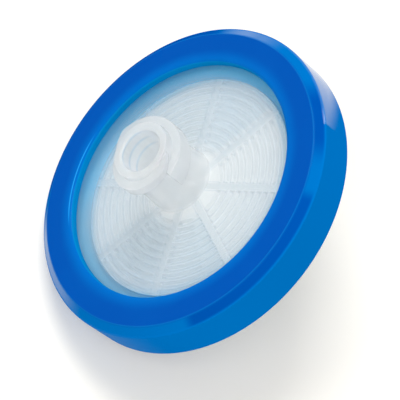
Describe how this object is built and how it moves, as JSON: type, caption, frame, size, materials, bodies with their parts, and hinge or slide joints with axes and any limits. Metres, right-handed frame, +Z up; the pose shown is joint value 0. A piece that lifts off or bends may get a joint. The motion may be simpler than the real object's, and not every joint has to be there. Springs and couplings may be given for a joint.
{
  "type": "syringe filter",
  "caption": "Round syringe filter: a blue moulded ring round two translucent shells that clamp a membrane, with a female Luer lock inlet and a male Luer outlet.",
  "frame": {"origin": "on the surface that the filter lies on, under the middle of the ring, at the centre of the box round the part", "axes": "+Z up from the surface; the filter lies tilted on the ring's lower face edge and the outlet's tip, with its own axis (outlet to inlet) leaning about 34 degrees from +Z towards -X; Y runs across the ring"},
  "size_m": [0.0294, 0.033, 0.0218],
  "materials": {
    "ring": "smooth, glossy blue polypropylene",
    "shell": "milky translucent natural polypropylene",
    "membrane": "matt white microporous film"
  },
  "bodies": {
    "root": {"overmould_ring": "ring", "inlet_housing": "shell", "membrane": "membrane", "outlet_housing": "shell"}
  },
  "joints": []
}
